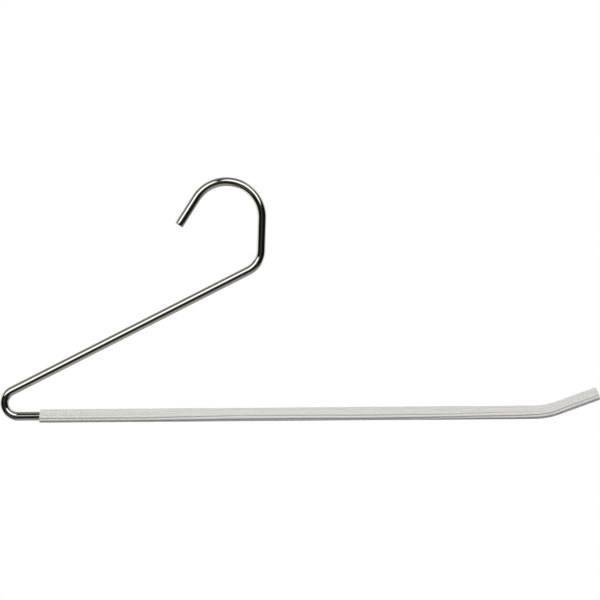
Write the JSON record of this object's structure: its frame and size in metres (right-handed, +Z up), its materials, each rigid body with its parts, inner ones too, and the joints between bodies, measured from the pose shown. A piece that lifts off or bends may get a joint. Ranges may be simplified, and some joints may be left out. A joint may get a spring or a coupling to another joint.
{
  "type": "open-ended trouser hanger",
  "caption": "Open-ended trouser hanger: a bent chrome-plated rod with hook, sloping arm and straight bar, and a ribbed soft non-slip sleeve on the bar.",
  "frame": {"origin": "the rail seat: the highest point of the hook's inside, on the rod's middle plane", "axes": "+Z up as it hangs, +X along the trouser bar towards its open upturned end, +Y through the thickness"},
  "size_m": [0.3461, 0.0078, 0.1416],
  "materials": {
    "chrome_rod": "bright chrome plating over drawn steel rod",
    "soft_sleeve": "off-white soft PVC extrusion, satin, lengthwise ribs"
  },
  "bodies": {
    "root": {"wire_frame": "chrome_rod", "grip_sleeve": "soft_sleeve"}
  },
  "joints": []
}
